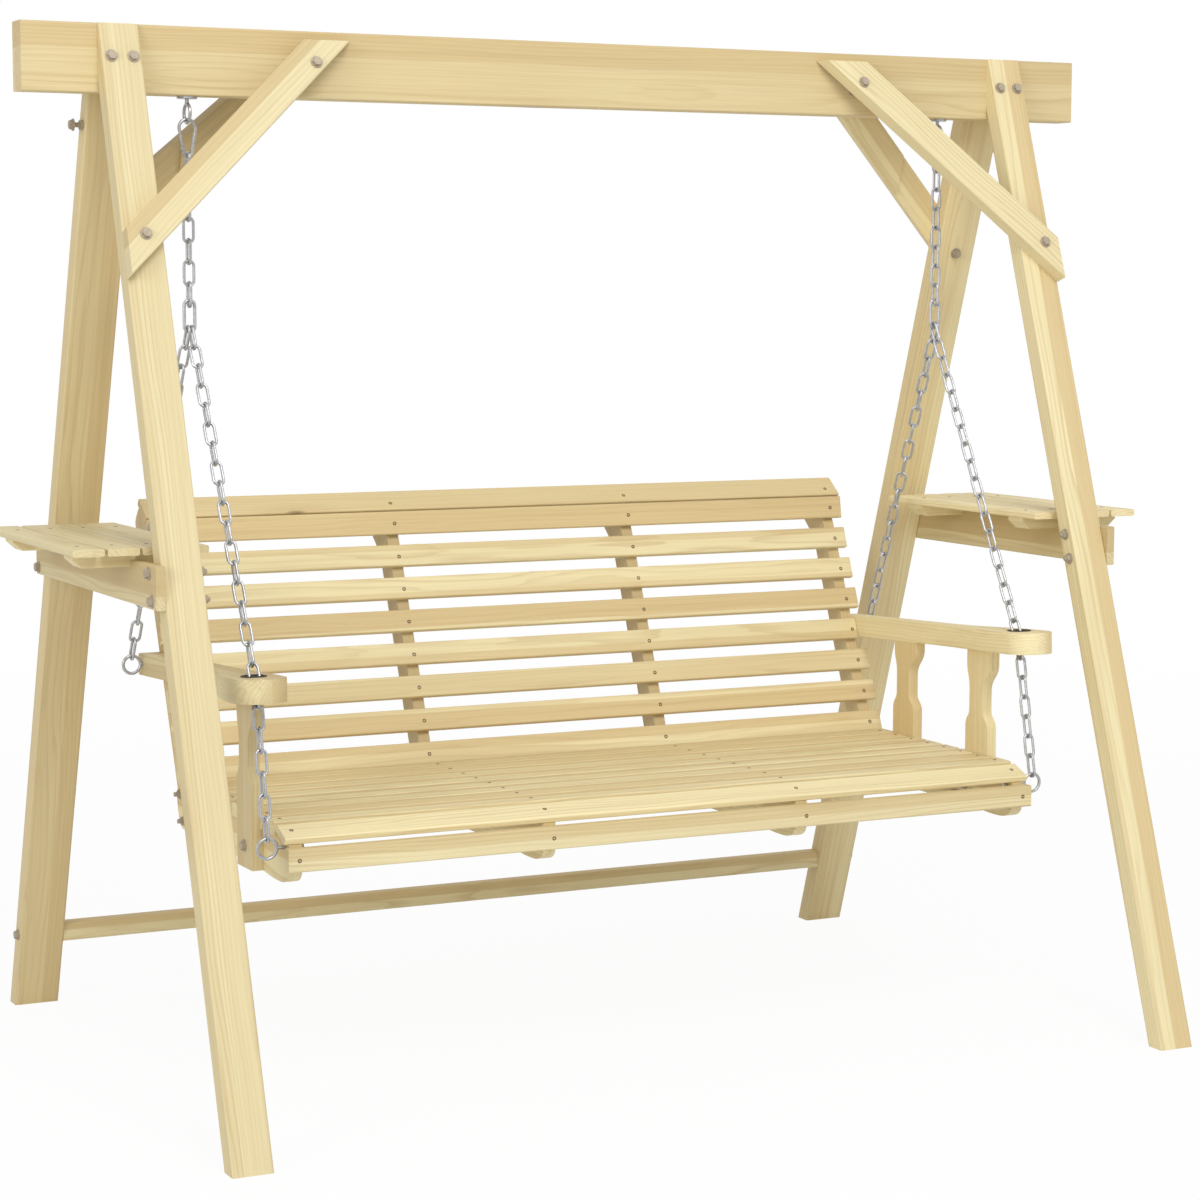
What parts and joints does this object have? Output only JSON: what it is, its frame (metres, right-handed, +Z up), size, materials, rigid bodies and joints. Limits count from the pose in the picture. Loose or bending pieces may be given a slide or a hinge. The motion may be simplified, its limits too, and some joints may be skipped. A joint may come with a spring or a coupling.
{
  "type": "a-frame porch swing",
  "caption": "Freestanding wooden A-frame porch swing: a slatted bench with arms hangs on chains from a beam on splayed legs, with a slatted side table at each end.",
  "frame": {"origin": "on the ground, in the middle between the four feet, straight below the beam's centre", "axes": "+Z up, +X along the beam to the sitter's left, which is the right side seen from in front, -Y towards the front, where the sitter faces"},
  "size_m": [2, 1.222, 1.725],
  "materials": {
    "pine": "planed, untreated pale softwood",
    "zinc": "galvanised",
    "bush": "moulded, dark"
  },
  "bodies": {
    "stand": {"top_beam": "pine", "left_front_leg": "pine", "right_front_leg": "pine", "left_rear_leg": "pine", "right_rear_leg": "pine", "left_front_brace": "pine", "right_front_brace": "pine", "left_rear_brace": "pine", "right_rear_brace": "pine", "rear_stretcher": "pine", "left_table_rail": "pine", "right_table_rail": "pine", "table_battens": "pine", "left_table_slats": "pine", "right_table_slats": "pine", "stand_bolts": "zinc", "beam_eyes": "zinc"},
    "hangers": {"left_snap_hook": "zinc", "right_snap_hook": "zinc", "left_upper_chain": "zinc", "right_upper_chain": "zinc", "junction_rings": "zinc"},
    "left_gate": {"left_snap_gate": "zinc"},
    "right_gate": {"right_snap_gate": "zinc"},
    "bench": {"left_front_chain": "zinc", "right_front_chain": "zinc", "left_rear_chain": "zinc", "right_rear_chain": "zinc", "left_end_joist": "pine", "left_middle_joist": "pine", "right_middle_joist": "pine", "right_end_joist": "pine", "left_end_upright": "pine", "left_middle_upright": "pine", "right_middle_upright": "pine", "right_end_upright": "pine", "seat_slats": "pine", "seat_nose_slat": "pine", "seat_apron": "pine", "back_slat_1": "pine", "back_slat_2": "pine", "back_slat_3": "pine", "back_slat_4": "pine", "back_slat_5": "pine", "back_slat_6": "pine", "back_slat_7": "pine", "back_slat_8": "pine", "back_slat_9": "pine", "left_arm": "pine", "right_arm": "pine", "arm_bushes": "bush", "left_front_post": "pine", "left_rear_post": "pine", "right_front_post": "pine", "right_rear_post": "pine", "bench_bolts": "zinc", "seat_eyes": "zinc", "arm_eyes": "zinc"}
  },
  "joints": [
    {"name": "swing", "type": "hinge", "parent": "stand", "child": "hangers", "pos_m": [0, 0, 1.57805], "axis": [1, 0, 0], "range_deg": [-20, 20]},
    {"name": "bench_tip", "type": "hinge", "parent": "hangers", "child": "bench", "pos_m": [0, 0, 1.23738], "axis": [1, 0, 0], "range_deg": [-10, 10]},
    {"name": "left_gate_hinge", "type": "hinge", "parent": "hangers", "child": "left_gate", "pos_m": [-0.72794, 0, 1.53024], "axis": [0, 1, 0], "range_deg": [0, 25], "stiffness_Nm_per_rad": 0.06, "springref_deg": -11.46},
    {"name": "right_gate_hinge", "type": "hinge", "parent": "hangers", "child": "right_gate", "pos_m": [0.72794, 0, 1.53024], "axis": [0, -1, 0], "range_deg": [0, 25], "stiffness_Nm_per_rad": 0.06, "springref_deg": -11.46}
  ]
}
